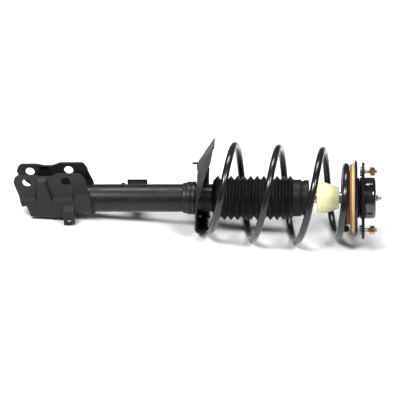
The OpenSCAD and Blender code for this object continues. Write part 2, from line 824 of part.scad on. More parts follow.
module stud_nuts()
    color([0.72, 0.62, 0.25])
    at_studs() {
        turned([
            [thread_stud_r, nut_gap], [nut_flange_r, nut_gap], [nut_flange_r, nut_gap + 0.9],
            [nut_flats / 2, nut_gap + nut_flange_t], [thread_stud_r, nut_gap + nut_flange_t]
        ]);
        hex_nut(nut_flats, nut_gap + 1.2, nut_gap + nut_h, thread_stud_r);
    }

module rod_washer()
    color([0.55, 0.55, 0.57])
    ring(rod_washer_r, core_top, core_top + rod_washer_t, thread_r);

module rod_nut()
    color([0.60, 0.58, 0.50])
    let (x = core_top + rod_washer_t)
    hex_nut(rod_nut_flats, x, x + rod_nut_t, thread_r);

strut_tube();
tube_base_cap();
pressure_tube();
base_valve();
rod_guide();
oil_seal();
tube_cap();
knuckle_bracket();
bracket_weld();
hose_tab();
link_bracket();
wire_nub();
seat_collar();
lower_spring_seat();
lower_spring_pad();
harness_clip();
coil_spring();
dust_boot();
piston_rod();
piston();
piston_band();
piston_nut();
rebound_stop();
bump_stop();
upper_isolator();
upper_spring_seat();
bearing_lower_race();
bearing_balls();
bearing_seal();
bearing_upper_race();
mount_lower_plate();
mount_plate();
mount_cup();
mount_rubber();
mount_core();
mount_studs();
stud_nuts();
rod_washer();
rod_nut();
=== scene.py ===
import json
import math

import bpy
from mathutils import Matrix, Vector

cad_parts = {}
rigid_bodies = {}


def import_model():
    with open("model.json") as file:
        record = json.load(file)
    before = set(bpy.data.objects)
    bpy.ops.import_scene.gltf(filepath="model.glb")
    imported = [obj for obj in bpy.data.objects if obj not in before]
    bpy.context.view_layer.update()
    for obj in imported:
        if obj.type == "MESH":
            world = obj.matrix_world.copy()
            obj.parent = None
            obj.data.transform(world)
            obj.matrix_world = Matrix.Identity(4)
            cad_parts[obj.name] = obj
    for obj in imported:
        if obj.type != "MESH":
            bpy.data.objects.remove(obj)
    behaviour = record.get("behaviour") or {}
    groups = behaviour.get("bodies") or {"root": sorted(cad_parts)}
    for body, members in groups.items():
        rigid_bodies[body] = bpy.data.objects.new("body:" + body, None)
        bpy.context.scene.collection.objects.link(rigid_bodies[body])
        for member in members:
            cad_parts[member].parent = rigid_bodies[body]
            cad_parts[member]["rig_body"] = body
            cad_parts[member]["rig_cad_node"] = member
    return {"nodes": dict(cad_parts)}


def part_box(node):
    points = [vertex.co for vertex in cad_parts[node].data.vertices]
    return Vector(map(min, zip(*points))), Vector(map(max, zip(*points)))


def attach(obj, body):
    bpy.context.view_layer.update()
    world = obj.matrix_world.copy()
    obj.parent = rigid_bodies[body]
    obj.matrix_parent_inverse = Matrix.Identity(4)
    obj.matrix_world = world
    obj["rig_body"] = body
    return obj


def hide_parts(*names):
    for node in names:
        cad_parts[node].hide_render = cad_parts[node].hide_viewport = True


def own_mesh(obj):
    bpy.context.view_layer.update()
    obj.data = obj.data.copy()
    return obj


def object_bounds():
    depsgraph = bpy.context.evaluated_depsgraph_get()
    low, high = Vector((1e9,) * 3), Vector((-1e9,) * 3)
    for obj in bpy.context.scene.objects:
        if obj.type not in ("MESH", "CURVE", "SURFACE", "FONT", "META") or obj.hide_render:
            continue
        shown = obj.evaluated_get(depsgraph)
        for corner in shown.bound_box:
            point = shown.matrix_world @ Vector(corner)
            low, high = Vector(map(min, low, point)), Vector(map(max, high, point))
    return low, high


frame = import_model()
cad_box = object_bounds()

bpy.ops.object.select_all(action="DESELECT")

# ---- Camera ----
# It looks down from the front at the strut, which lies on its side across the picture.
# The camera is rolled so that the damper runs level from left to right.
camera_place = Vector((-0.0205, -2.9160, 1.7477))
camera_rise = math.radians(31)
camera_turn = math.radians(4.6)
bpy.ops.object.camera_add(location=camera_place)
camera = bpy.context.object
camera.name = "camera"
camera.data.sensor_width = 36
camera.data.lens = 171.1
camera.data.clip_start, camera.data.clip_end = 0.1, 50
bpy.context.scene.camera = camera
looking = Vector((
    -math.sin(camera_turn),
    math.cos(camera_turn) * math.cos(camera_rise),
    -math.cos(camera_turn) * math.sin(camera_rise),
))
along_damper = Vector((1, 0, 0))
picture_right = (along_damper - looking * along_damper.dot(looking)).normalized()
picture_up = picture_right.cross(looking)
camera.matrix_world = Matrix.Translation(camera_place) @ Matrix(
    (picture_right, picture_up, -looking)
).transposed().to_4x4()

# ---- Floor and light ----
# A pale sheet under the strut, which lies on its clevis and on the bottoms of its coils. These reach
# lower than the clevis does, so the sheet slopes a little. Two soft lights hang in front of the
# strut, and a wide one hangs above and behind it.
clevis_low, spring_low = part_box("knuckle_bracket")[0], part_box("coil_spring")[0]
under_clevis = Vector((clevis_low.x + 0.03, 0, clevis_low.z))
under_spring = Vector((-0.10, 0, spring_low.z))
floor_fall = math.atan2(under_clevis.z - under_spring.z, under_spring.x - under_clevis.x)
bpy.ops.mesh.primitive_plane_add(
    size=14, location=under_spring - Vector((0, 0, 0.0005)), rotation=(0, floor_fall, 0)
)
floor = bpy.context.object
floor.name = "floor"
sheet = bpy.data.materials.new("floor_sheet")
sheet.use_nodes = True
sheet_shader = sheet.node_tree.nodes["Principled BSDF"]
sheet_shader.inputs["Base Color"].default_value = (0.90, 0.90, 0.90, 1)
sheet_shader.inputs["Roughness"].default_value = 0.5
floor.data.materials.append(sheet)


def soft_light(name, place, aim, width, length, power):
    """A rectangular studio light that faces a point."""
    bpy.ops.object.light_add(type="AREA", location=place)
    light = bpy.context.object
    light.name = name
    light.data.shape = "RECTANGLE"
    light.data.size, light.data.size_y = width, length
    light.data.energy = power
    light.rotation_euler = (Vector(aim) - Vector(place)).to_track_quat("-Z", "Y").to_euler()


middle = (cad_box[0] + cad_box[1]) / 2
soft_light("key_left", (-0.85, -0.95, 1.6), (-0.35, 0, 0), 0.8, 0.42, 36)
soft_light("key_right", (0.75, -0.95, 1.5), (0, 0, 0), 0.5, 0.42, 24)
soft_light("overhead", (-0.3, 0.6, 2.0), middle, 1.4, 0.6, 38)
world = bpy.data.worlds.new("studio")
bpy.context.scene.world = world
world.use_nodes = True
world.node_tree.nodes["Background"].inputs["Color"].default_value = (1, 1, 1, 1)
world.node_tree.nodes["Background"].inputs["Strength"].default_value = 0.14
bpy.context.scene.view_settings.view_transform = "Standard"

# ---- Strut tube ----
# The damper's outer tube: drawn steel, rolled over at the top and painted satin black.
# It holds the oil and the inner tube, and everything that is welded on carries on it.
tube_r = 0.025
tube_wall = 0.0022
roll_reach, roll_thick = 0.004, 0.0016
tube_low, tube_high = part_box("strut_tube")


def turned(name, outline, steps=128):
    """A piece turned on the damper's axis, from the (radius, x) points of its closed outline."""
    bpy.ops.object.select_all(action="DESELECT")
    bpy.ops.mesh.primitive_plane_add(size=0.001)
    piece = bpy.context.object
    piece.name = piece.data.name = name
    bpy.ops.object.mode_set(mode="EDIT")
    bpy.ops.mesh.select_all(action="SELECT")
    bpy.ops.mesh.merge(type="CENTER")
    bpy.ops.transform.translate(value=(outline[0][1], 0, outline[0][0]))
    for start, end in zip(outline, outline[1:] + outline[:1]):
        step = (end[1] - start[1], 0, end[0] - start[0])
        bpy.ops.mesh.extrude_region_move(TRANSFORM_OT_translate={"value": step})
    bpy.ops.mesh.select_all(action="SELECT")
    bpy.ops.mesh.spin(steps=steps, angle=2 * math.pi, center=(0, 0, 0), axis=(1, 0, 0))
    bpy.ops.mesh.select_all(action="SELECT")
    bpy.ops.mesh.remove_doubles(threshold=2e-6)
    bpy.ops.mesh.dissolve_degenerate(threshold=1e-6)
    bpy.ops.mesh.normals_make_consistent(inside=False)
    bpy.ops.object.mode_set(mode="OBJECT")
    return piece


def eased(piece, width, segments=3, angle=25):
    """Takes the sharpness off a piece's edges, as tumbling and paint do."""
    bpy.context.view_layer.objects.active = piece
    bevel = piece.modifiers.new("edges", "BEVEL")
    bevel.width, bevel.segments = width, segments
    bevel.limit_method, bevel.angle_limit = "ANGLE", math.radians(angle)
    bevel.harden_normals = False
    bpy.ops.object.modifier_apply(modifier=bevel.name)
    return piece


def grain(tree, size, detail=3, stretch=(1, 1, 1)):
    """Noise whose spots are about the given size in metres. It is fixed to the piece."""
    place = tree.nodes.new("ShaderNodeTexCoord")
    stretched = tree.nodes.new("ShaderNodeMapping")
    stretched.inputs["Scale"].default_value = stretch
    noise = tree.nodes.new("ShaderNodeTexNoise")
    noise.inputs["Scale"].default_value = 1 / size
    noise.inputs["Detail"].default_value = detail
    tree.links.new(place.outputs["Object"], stretched.inputs["Vector"])
    tree.links.new(stretched.outputs["Vector"], noise.inputs["Vector"])
    return noise.outputs["Fac"]


def spread(tree, factor, low, high, start=0.35, end=0.65):
    """Turns noise into values from low to high."""
    span = tree.nodes.new("ShaderNodeMapRange")
    tree.links.new(factor, span.inputs["Value"])
    for socket, value in zip(("From Min", "From Max", "To Min", "To Max"), (start, end, low, high)):
        span.inputs[socket].default_value = value
    return span.outputs["Result"]


def mixed(tree, factor, first, second):
    """One colour where the factor is 0 and another where it is 1. Each may be another mix."""
    mix = tree.nodes.new("ShaderNodeMix")
    mix.data_type = "RGBA"
    tree.links.new(factor, mix.inputs["Factor"])
    first_socket, second_socket, result = mix.inputs[6], mix.inputs[7], mix.outputs[2]
    for socket, colour in ((first_socket, first), (second_socket, second)):
        if isinstance(colour, bpy.types.NodeSocket):
            tree.links.new(colour, socket)
        else:
            socket.default_value = (*colour, 1)
    return result


def raised(tree, shader, heights):
    """Bump on a shader from (height, depth in metres) pairs."""
    normal = None
    for height, depth in heights:
        bump = tree.nodes.new("ShaderNodeBump")
        bump.inputs["Distance"].default_value = depth
        tree.links.new(height, bump.inputs["Height"])
        if normal:
            tree.links.new(normal, bump.inputs["Normal"])
        normal = bump.outputs["Normal"]
    tree.links.new(normal, shader.inputs["Normal"])


def black_paint(name, colour, dust, rough, peel=0.00001):
    """Black paint on steel: clouded with handling dust, with the fine peel that sprayed paint has."""
    material = bpy.data.materials.new(name)
    material.use_nodes = True
    tree = material.node_tree
    shader = tree.nodes["Principled BSDF"]
    clouds = spread(tree, grain(tree, 0.035, 5), 0, 1, 0.4, 0.75)
    specks = spread(tree, grain(tree, 0.0012, 2), 0, 1, 0.62, 0.72)
    clouded = mixed(tree, clouds, colour, tuple((c + d) / 2 for c, d in zip(colour, dust)))
    tree.links.new(mixed(tree, specks, clouded, dust), shader.inputs["Base Color"])
    roughness = spread(tree, grain(tree, 0.02, 4), rough - 0.06, rough + 0.08)
    tree.links.new(roughness, shader.inputs["Roughness"])
    shader.inputs["Specular IOR Level"].default_value = 0.25
    raised(tree, shader, [(grain(tree, 0.0014, 2), peel), (grain(tree, 0.009, 2), peel * 4)])
    return material


def fitted(piece, material, body, slot, *stands_for, smooth=30):
    """Gives a finished piece its material and its smooth faces, and fixes it to a body of the strut."""
    bpy.ops.object.select_all(action="DESELECT")
    piece.select_set(True)
    bpy.context.view_layer.objects.active = piece
    bpy.ops.object.shade_smooth_by_angle(angle=math.radians(smooth))
    piece.data.materials.clear()
    piece.data.materials.append(material)
    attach(piece, body)
    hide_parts(*stands_for)
    piece.select_set(False)
    return piece


tube_paint = black_paint("tube_paint", (0.006, 0.006, 0.008), (0.016, 0.016, 0.018), 0.36)
tube_x0, tube_x1 = tube_low.x, tube_high.x
tube = turned("strut_tube_painted", [
    (tube_r - tube_wall, tube_x0), (tube_r - 0.0004, tube_x0), (tube_r, tube_x0 + 0.0004),
    (tube_r, tube_x1 - 0.0022), (tube_r - 0.0007, tube_x1 - 0.0007), (tube_r - 0.0022, tube_x1),
    (tube_r - tube_wall - roll_reach, tube_x1), (tube_r - tube_wall - roll_reach, tube_x1 - roll_thick),
    (tube_r - tube_wall, tube_x1 - roll_thick),
])
fitted(tube, tube_paint, "strut_body", "tube_paint", "strut_tube")

# ---- Closed end of the tube ----
# A dished steel plug closes the tube's lower end. It is pressed in and welded all round, to keep
# the oil in, and its paint is the tube's.
base_low, base_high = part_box("tube_base_cap")
base_r = base_high.z
base = turned("tube_base", [
    (0, base_low.x + 0.0025), (base_r - 0.0075, base_low.x + 0.0025), (base_r - 0.0055, base_low.x + 0.0021),
    (base_r - 0.0032, base_low.x + 0.0006), (base_r - 0.0018, base_low.x), (base_r, base_low.x),
    (base_r, base_high.x), (0, base_high.x),
])
fitted(base, tube_paint, "strut_body", "tube_paint", "tube_base_cap")

# ---- Clevis bracket ----
# Pressed from thick plate: two ears with bolt holes, a rib between the holes, and sides that wrap
# round the tube. Pressing leaves every bend round, so the edges are softened all over.


def copied(node, name):
    """A copy of a CAD node with its own mesh, whose loose triangles are merged into whole faces."""
    bpy.ops.object.select_all(action="DESELECT")
    piece = frame["nodes"][node].copy()
    piece.data = frame["nodes"][node].data.copy()
    piece.parent = None
    piece.name = piece.data.name = name
    bpy.context.scene.collection.objects.link(piece)
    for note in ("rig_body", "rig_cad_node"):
        del piece[note]
    piece.select_set(True)
    bpy.context.view_layer.objects.active = piece
    bpy.ops.mesh.customdata_custom_splitnormals_clear()
    bpy.ops.object.mode_set(mode="EDIT")
    bpy.ops.mesh.select_all(action="SELECT")
    bpy.ops.mesh.remove_doubles(threshold=2e-6)
    bpy.ops.mesh.dissolve_limited(angle_limit=math.radians(0.5))
    bpy.ops.object.mode_set(mode="OBJECT")
    return piece


def pressed(piece, voxel, passes):
    """Rounds a sheet piece's bends and edges all over, as a press does."""
    bpy.context.view_layer.objects.active = piece
    remesh = piece.modifiers.new("even_faces", "REMESH")
    remesh.mode, remesh.voxel_size = "VOXEL", voxel
    smooth = piece.modifiers.new("round_bends", "SMOOTH")
    smooth.factor, smooth.iterations = 0.5, passes
    for modifier in (remesh, smooth):
        bpy.ops.object.modifier_apply(modifier=modifier.name)
    return piece


bracket_paint = black_paint("bracket_coating", (0.009, 0.009, 0.012), (0.022, 0.022, 0.024), 0.48, 0.000015)
bolt_holes = ((-0.601, 0.044), (-0.5305, 0.047))
bolt_hole_r, ear_middle, ear_thick = 0.0084, 0.0201, 0.0042
plug_margin, drill_length = 0.002, 0.1
across_ears = (math.pi / 2, 0, 0)
bracket = copied("knuckle_bracket", "knuckle_bracket_pressed")
# Rounding the bends would widen the holes, so they are plugged first and drilled again afterwards.
bpy.ops.object.mode_set(mode="EDIT")
for hole_x, hole_z in bolt_holes:
    for side in (-1, 1):
        bpy.ops.mesh.primitive_cylinder_add(
            vertices=48, radius=bolt_hole_r + plug_margin, depth=ear_thick,
            location=(hole_x, side * ear_middle, hole_z), rotation=across_ears,
        )
bpy.ops.object.mode_set(mode="OBJECT")
pressed(bracket, 0.00085, 5)
for hole_x, hole_z in bolt_holes:
    bpy.ops.mesh.primitive_cylinder_add(
        vertices=64, radius=bolt_hole_r, depth=drill_length,
        location=(hole_x, 0, hole_z), rotation=across_ears,
    )
    drill = bpy.context.object
    cut = bracket.modifiers.new("bolt_hole", "BOOLEAN")
    cut.operation, cut.solver, cut.object = "DIFFERENCE", "EXACT", drill
    bpy.context.view_layer.objects.active = bracket
    bpy.ops.object.modifier_apply(modifier=cut.name)
    bpy.data.objects.remove(drill)
fitted(bracket, bracket_paint, "strut_body", "bracket_coating", "knuckle_bracket", smooth=60)


# ---- Weld beads ----
# The bracket is welded to the tube round its upper edge and the seat's collar round its lower one.
# Each bead is laid in overlapping drops, so its surface is rippled.
drop_pitch, drop_steps = 0.0022, 6


def weld_bead(name, x, radius, thickness, start, sweep):
    """A rippled bead round the damper's axis, from a start angle on through a sweep, both in radians."""
    drops = round(radius * sweep / drop_pitch)
    steps = drops * drop_steps
    bpy.ops.object.select_all(action="DESELECT")
    bpy.ops.mesh.primitive_plane_add(size=0.001)
    bead = bpy.context.object
    bead.name = bead.data.name = name
    bpy.ops.object.mode_set(mode="EDIT")
    bpy.ops.mesh.select_all(action="SELECT")
    bpy.ops.mesh.merge(type="CENTER")
    angles = [start + sweep * i / steps for i in range(steps + 1)]
    path = [Vector((x, radius * math.cos(angle), radius * math.sin(angle))) for angle in angles]
    bpy.ops.transform.translate(value=path[0])
    for here, there in zip(path, path[1:]):
        bpy.ops.mesh.extrude_region_move(TRANSFORM_OT_translate={"value": there - here})
    bpy.ops.object.mode_set(mode="OBJECT")
    bpy.ops.object.convert(target="CURVE")
    bead.data.bevel_depth = thickness
    bead.data.bevel_resolution = 3
    bead.data.use_fill_caps = True
    for i, point in enumerate(bead.data.splines[0].points):
        point.radius = 0.84 + 0.16 * abs(math.sin(math.pi * i / drop_steps))
    bpy.ops.object.convert(target="MESH")
    return bead


weld_low_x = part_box("bracket_weld")[0].x
weld_start, weld_sweep = math.radians(145), math.radians(250)
bead = weld_bead("bracket_weld_bead", weld_low_x + 0.0014, tube_r + 0.0004, 0.0023, weld_start, weld_sweep)
fitted(bead, tube_paint, "strut_body", "tube_paint", "bracket_weld", smooth=60)

# ---- Brake-hose tab and wiring bracket ----
# Two small bent steel straps, welded on: one to the bracket's side for the brake hose, and one behind
# the tube, with two legs, that a wiring grommet is pushed into. A short stud stands beside it.
for node, name in (("hose_tab", "brake_hose_tab"), ("link_bracket", "wiring_bracket")):
    strap = pressed(copied(node, name), 0.0005, 10)
    fitted(strap, bracket_paint if node == "hose_tab" else tube_paint, "strut_body",
           "bracket_coating" if node == "hose_tab" else "tube_paint", node, smooth=60)
stub = eased(copied("wire_nub", "wiring_stub"), 0.0003, 2)
fitted(stub, tube_paint, "strut_body", "tube_paint", "wire_nub")

# ---- Lower spring seat ----
# A steel dish pressed with one side drawn up into a wing that follows the spring's first coil.
# It is pushed over the tube on a stepped collar and welded, and dipped in black primer.
collar_length = 0.022
pan_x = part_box("seat_collar")[0].x + collar_length
seat = pressed(copied("lower_spring_seat", "lower_spring_seat_pressed"), 0.00095, 8)
fitted(seat, bracket_paint, "strut_body", "bracket_coating", "lower_spring_seat", smooth=60)
collar_base = pan_x - collar_length
collar = turned("seat_collar_turned", [
    (tube_r, collar_base), (tube_r + 0.0021, collar_base), (tube_r + 0.0025, collar_base + 0.0004),
    (tube_r + 0.0027, collar_base + 0.0052), (tube_r + 0.0033, collar_base + 0.0058),
    (tube_r + 0.0045, collar_base + 0.0070), (tube_r + 0.0046, collar_base + 0.0132),
    (tube_r + 0.0038, collar_base + 0.0140), (tube_r + 0.0038, collar_base + 0.0152),
    (tube_r + 0.0047, collar_base + 0.0160), (tube_r + 0.0049, pan_x - 0.0004), (tube_r, pan_x - 0.0004),
])
fitted(eased(collar, 0.0003, 2), tube_paint, "strut_body", "tube_paint", "seat_collar")
collar_bead = weld_bead("seat_collar_bead", collar_base - 0.0004, tube_r + 0.0002, 0.0016, 0, 2 * math.pi)
fitted(collar_bead, tube_paint, "strut_body", "tube_paint", smooth=60)

# ---- Spring pad and wiring clip ----
# A strip of hard black rubber lies between the spring's end coil and the seat, and a nylon clip
# with a barbed pin holds a lead to the back of the wing.


def rubber(name, colour, bloom, rough):
    """Moulded rubber: matt, with the greyish bloom that comes out of it and a fine mould texture."""
    material = bpy.data.materials.new(name)
    material.use_nodes = True
    tree = material.node_tree
    shader = tree.nodes["Principled BSDF"]
    cloudy = spread(tree, grain(tree, 0.018, 5), 0, 1, 0.42, 0.78)
    tree.links.new(mixed(tree, cloudy, colour, bloom), shader.inputs["Base Color"])
    roughness = spread(tree, grain(tree, 0.006, 3), rough - 0.08, rough + 0.08)
    tree.links.new(roughness, shader.inputs["Roughness"])
    shader.inputs["Specular IOR Level"].default_value = 0.22
    raised(tree, shader, [(grain(tree, 0.0007, 2), 0.00003), (grain(tree, 0.012, 2), 0.00012)])
    return material


pad_rubber = rubber("pad_rubber", (0.010, 0.010, 0.010), (0.022, 0.022, 0.021), 0.62)
pad = copied("lower_spring_pad", "lower_spring_pad_moulded")
fitted(pad, pad_rubber, "strut_body", "pad_rubber", "lower_spring_pad", smooth=50)
clip_nylon = rubber("clip_plastic", (0.012, 0.012, 0.012), (0.020, 0.020, 0.020), 0.45)
clip = eased(copied("harness_clip", "harness_clip_moulded"), 0.0004, 3)
fitted(clip, clip_nylon, "strut_body", "clip_plastic", "harness_clip")

# ---- Coil spring ----
# Cold-wound steel wire, 12.3 mm thick, in a glossy black powder coat. Its lower end coil is small
# and lies in the seat, the free coils are wide, and the top ones close in under the mount.
wire_r = 0.00615
coil_r, coil_low_r, coil_top_r = 0.0823, 0.0655, 0.0558
half_turns, seated_turns, ease_turns = 8, 0.7, 0.6
free_turns = half_turns - 2.4
first_turn = math.radians(239)
spring_lean = (math.radians(4.87), math.radians(2.04))
spring_meets_axis = -0.015
isolator_edge_thick, isolator_step = 0.0074, 0.0035
land_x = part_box("upper_isolator")[1].x - isolator_edge_thick - isolator_step


def smooth_step(t):
    t = min(max(t, 0), 1)
    return t * t * (3 - 2 * t)


lean_matrix = Matrix.Rotation(spring_lean[1], 3, "Z") @ Matrix.Rotation(spring_lean[0], 3, "Y")
axis_cos = lean_matrix.col[0].x
coil_low_s = (pan_x - spring_meets_axis) * axis_cos + 0.006 + wire_r
last_turn = first_turn - math.pi * half_turns
last_x = coil_top_r * (
    math.cos(last_turn) * lean_matrix.col[1].x + math.sin(last_turn) * lean_matrix.col[2].x
)
coil_top_s = (land_x - wire_r - 0.0009 - spring_meets_axis - last_x) / axis_cos
closed_turns = half_turns - free_turns - ease_turns / 2
open_turns = seated_turns / 2 + free_turns + ease_turns / 2
half_pitch = (coil_top_s - coil_low_s - wire_r * closed_turns) / open_turns


def wire_place(k):
    """Where the wire's middle is after k half turns."""
    if k < 0:
        s = coil_low_s + half_pitch * (k + seated_turns) ** 2 / (2 * seated_turns)
    else:
        eased_turns = max(0, min(k - free_turns, ease_turns))
        s = coil_low_s + half_pitch * (seated_turns / 2 + min(k, free_turns) + eased_turns)
        s -= (half_pitch - wire_r) * eased_turns ** 2 / (2 * ease_turns)
        s += wire_r * max(0, k - free_turns - ease_turns)
    r = coil_low_r + (coil_r - coil_low_r) * smooth_step((k + 0.9) / 1.9)
    r += (coil_top_r - coil_r) * smooth_step((k - half_turns + 2.8) / 1.6)
    angle = first_turn - math.pi * k
    place = lean_matrix @ Vector((s, r * math.cos(angle), r * math.sin(angle)))
    return place + Vector((spring_meets_axis, 0, 0))


wire_steps = 36 * round(half_turns + seated_turns)
wire_path = [
    wire_place(-seated_turns + (half_turns + seated_turns) * i / wire_steps) for i in range(wire_steps + 1)
]
bpy.ops.object.select_all(action="DESELECT")
bpy.ops.mesh.primitive_plane_add(size=0.001)
spring = bpy.context.object
spring.name = spring.data.name = "coil_spring_wound"
bpy.ops.object.mode_set(mode="EDIT")
bpy.ops.mesh.select_all(action="SELECT")
bpy.ops.mesh.merge(type="CENTER")
bpy.ops.transform.translate(value=wire_path[0])
for here, there in zip(wire_path, wire_path[1:]):
    bpy.ops.mesh.extrude_region_move(TRANSFORM_OT_translate={"value": there - here})
bpy.ops.object.mode_set(mode="OBJECT")
bpy.ops.object.convert(target="CURVE")
spring.data.bevel_depth = wire_r
spring.data.bevel_resolution = 10
spring.data.use_fill_caps = True
bpy.ops.object.convert(target="MESH")
eased(spring, 0.0008, 3, 60)

spring_coat = bpy.data.materials.new("spring_coating")
spring_coat.use_nodes = True
spring_tree = spring_coat.node_tree
spring_shader = spring_tree.nodes["Principled BSDF"]
spring_dust = spread(spring_tree, grain(spring_tree, 0.03, 5), 0, 1, 0.5, 0.8)
spring_tree.links.new(
    mixed(spring_tree, spring_dust, (0.006, 0.006, 0.008), (0.016, 0.016, 0.017)),
    spring_shader.inputs["Base Color"],
)
spring_tree.links.new(
    spread(spring_tree, grain(spring_tree, 0.012, 4), 0.16, 0.28), spring_shader.inputs["Roughness"]
)
spring_shader.inputs["Specular IOR Level"].default_value = 0.38
spring_shader.inputs["Coat Weight"].default_value = 0.3
spring_shader.inputs["Coat Roughness"].default_value = 0.08
raised(spring_tree, spring_shader, [
    (grain(spring_tree, 0.0022, 2), 0.000006), (grain(spring_tree, 0.014, 2), 0.00004),
])
fitted(spring, spring_coat, "strut_body", "spring_coating", "coil_spring", smooth=50)
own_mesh(spring)

# ---- Dust boot ----
# Thin moulded rubber in twelve sharp folds, with a plain cuff that ends in a rounded lip. Its lower
# neck grips the tube. As the strut closes the folds do too, and the bump stop goes into the cuff.
boot_low, boot_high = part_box("dust_boot")
fold_r, valley_r, boot_wall, fold_pitch, folds = 0.0405, 0.0327, 0.0018, 0.0118, 12
first_fold = boot_low.x + 0.0079


def rounded_corner(before, corner, after, size, steps=4):
    """Points that round one corner of an outline, given with the corners before and after it."""
    before, corner, after = (Vector(p) for p in (before, corner, after))
    start = corner + (before - corner).normalized() * size
    end = corner + (after - corner).normalized() * size
    return [
        tuple(start * (1 - t) ** 2 + corner * 2 * t * (1 - t) + end * t * t)
        for t in (i / steps for i in range(steps + 1))
    ]


def rounded_outline(corners, sizes):
    """A closed outline with each corner rounded by its own size. A size of 0 leaves it sharp."""
    outline = []
    for i, (corner, size) in enumerate(zip(corners, sizes)):
        if size:
            outline += rounded_corner(corners[i - 1], corner, corners[(i + 1) % len(corners)], size)
        else:
            outline.append(corner)
    return outline


cuff_r, cuff_neck_r, lip_r = 0.033, 0.0305, 0.032
cuff_x = first_fold + (folds - 0.5) * fold_pitch + 0.001
end_x = boot_high.x
outer = [(tube_r, boot_low.x), (valley_r - 0.001, boot_low.x), (valley_r, boot_low.x + 0.0015)]
outer_sizes = [0, 0.0007, 0.0005]
for fold in range(folds):
    outer += [(fold_r, first_fold + fold * fold_pitch), (valley_r, first_fold + (fold + 0.5) * fold_pitch)]
    outer_sizes += [0.0011, 0.0018]
outer += [
    (cuff_r, cuff_x), (cuff_r, end_x - 0.0142), (cuff_neck_r, end_x - 0.0126), (cuff_neck_r, end_x - 0.0104),
    (lip_r, end_x - 0.0094), (lip_r, end_x), (cuff_neck_r - boot_wall, end_x),
    (cuff_neck_r - boot_wall, end_x - 0.0135), (cuff_r - boot_wall, end_x - 0.015),
    (cuff_r - boot_wall, cuff_x),
]
outer_sizes += [0.0006, 0.0008, 0.0006, 0.0006, 0.0012, 0.0016, 0.0006, 0.0006, 0.0006, 0.0006]
for fold in reversed(range(folds)):
    outer += [
        (valley_r - boot_wall, first_fold + (fold + 0.5) * fold_pitch),
        (fold_r - 1.6 * boot_wall, first_fold + fold * fold_pitch),
    ]
    outer_sizes += [0.0012, 0.0012]
outer += [(valley_r - boot_wall, boot_low.x + 0.004), (tube_r, boot_low.x + 0.004)]
outer_sizes += [0.0006, 0]
boot = turned("dust_boot_moulded", rounded_outline(outer, outer_sizes))
boot_rubber = rubber("boot_rubber", (0.0035, 0.0035, 0.0045), (0.0075, 0.0075, 0.0085), 0.50)
fitted(boot, boot_rubber, "strut_body", "boot_rubber", "dust_boot", smooth=50)
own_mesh(boot)

# ---- Piston rod ----
# A steel rod, hard-chromed and ground. Its top is turned down for the nut and threaded, and a small
# tip beyond the thread takes the spanner that keeps the rod from turning.
rod_r, rod_thread_r, rod_tip_r = 0.010, 0.006, 0.0035
rod_thread_pitch = 0.00125
rod_low, rod_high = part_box("piston_rod")
rod_shoulder, rod_foot_length = -0.0025, 0.030
rod_thread_end = rod_high.x - 0.0058


def thread(radius, start, end, pitch, depth):
    """Outline points of a thread's ridges along a shaft."""
    ridges = round((end - start) / pitch)
    points = []
    for ridge in range(ridges):
        x = start + ridge * pitch
        points += [
            (radius - depth, x), (radius - depth, x + pitch * 0.2), (radius, x + pitch * 0.55),
            (radius, x + pitch * 0.7),
        ]
    return points + [(radius - depth, start + ridges * pitch)]


rod = turned("piston_rod_ground", [
    (0, rod_low.x), (rod_thread_r, rod_low.x), (rod_thread_r, rod_low.x + rod_foot_length),
    (rod_r, rod_low.x + rod_foot_length), (rod_r, rod_shoulder), (rod_thread_r, rod_shoulder),
    *thread(rod_thread_r, 0.008, rod_thread_end - 0.0005, rod_thread_pitch, 0.0006),
    (rod_tip_r, rod_thread_end), (rod_tip_r, rod_high.x - 0.0006), (rod_tip_r - 0.0006, rod_high.x),
    (0.0016, rod_high.x), (0.0013, rod_high.x - 0.0008), (0, rod_high.x - 0.001),
], 96)
rod_chrome = bpy.data.materials.new("rod_chrome")
rod_chrome.use_nodes = True
rod_tree = rod_chrome.node_tree
rod_shader = rod_tree.nodes["Principled BSDF"]
rod_shader.inputs["Metallic"].default_value = 1
rod_oil = spread(rod_tree, grain(rod_tree, 0.01, 4), 0, 1, 0.45, 0.7)
rod_tree.links.new(
    mixed(rod_tree, rod_oil, (0.42, 0.41, 0.40), (0.30, 0.28, 0.25)), rod_shader.inputs["Base Color"]
)
rod_tree.links.new(spread(rod_tree, grain(rod_tree, 0.008, 4), 0.16, 0.34), rod_shader.inputs["Roughness"])
raised(rod_tree, rod_shader, [(grain(rod_tree, 0.0008, 1, (6, 0.3, 0.3)), 0.000004)])
fitted(rod, rod_chrome, "top_mount", "rod_chrome", "piston_rod")

# ---- Bump stop ----
# Cream-coloured foam rubber, moulded as a blunt cone and pushed onto the rod. The strut comes down
# on it at full stroke. Its skin is smooth, with faint flow marks and small pores.
bump_low, bump_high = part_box("bump_stop")
bump_r, bump_end_r = 0.0283, 0.019
bump = turned("bump_stop_moulded", rounded_outline(
    [
        (rod_r, bump_low.x), (bump_r - 0.0022, bump_low.x), (bump_r, bump_low.x + 0.007),
        (bump_r, bump_low.x + 0.0118), (bump_end_r, bump_high.x), (rod_r, bump_high.x),
    ],
    [0, 0.0035, 0.003, 0.0045, 0.0016, 0],
))
bump_foam = bpy.data.materials.new("bump_foam")
bump_foam.use_nodes = True
bump_tree = bump_foam.node_tree
bump_shader = bump_tree.nodes["Principled BSDF"]
bump_tone = spread(bump_tree, grain(bump_tree, 0.03, 4), 0, 1, 0.4, 0.7)
bump_tree.links.new(
    mixed(bump_tree, bump_tone, (0.80, 0.79, 0.47), (0.70, 0.68, 0.36)), bump_shader.inputs["Base Color"]
)
bump_tree.links.new(
    spread(bump_tree, grain(bump_tree, 0.01, 3), 0.40, 0.55), bump_shader.inputs["Roughness"]
)
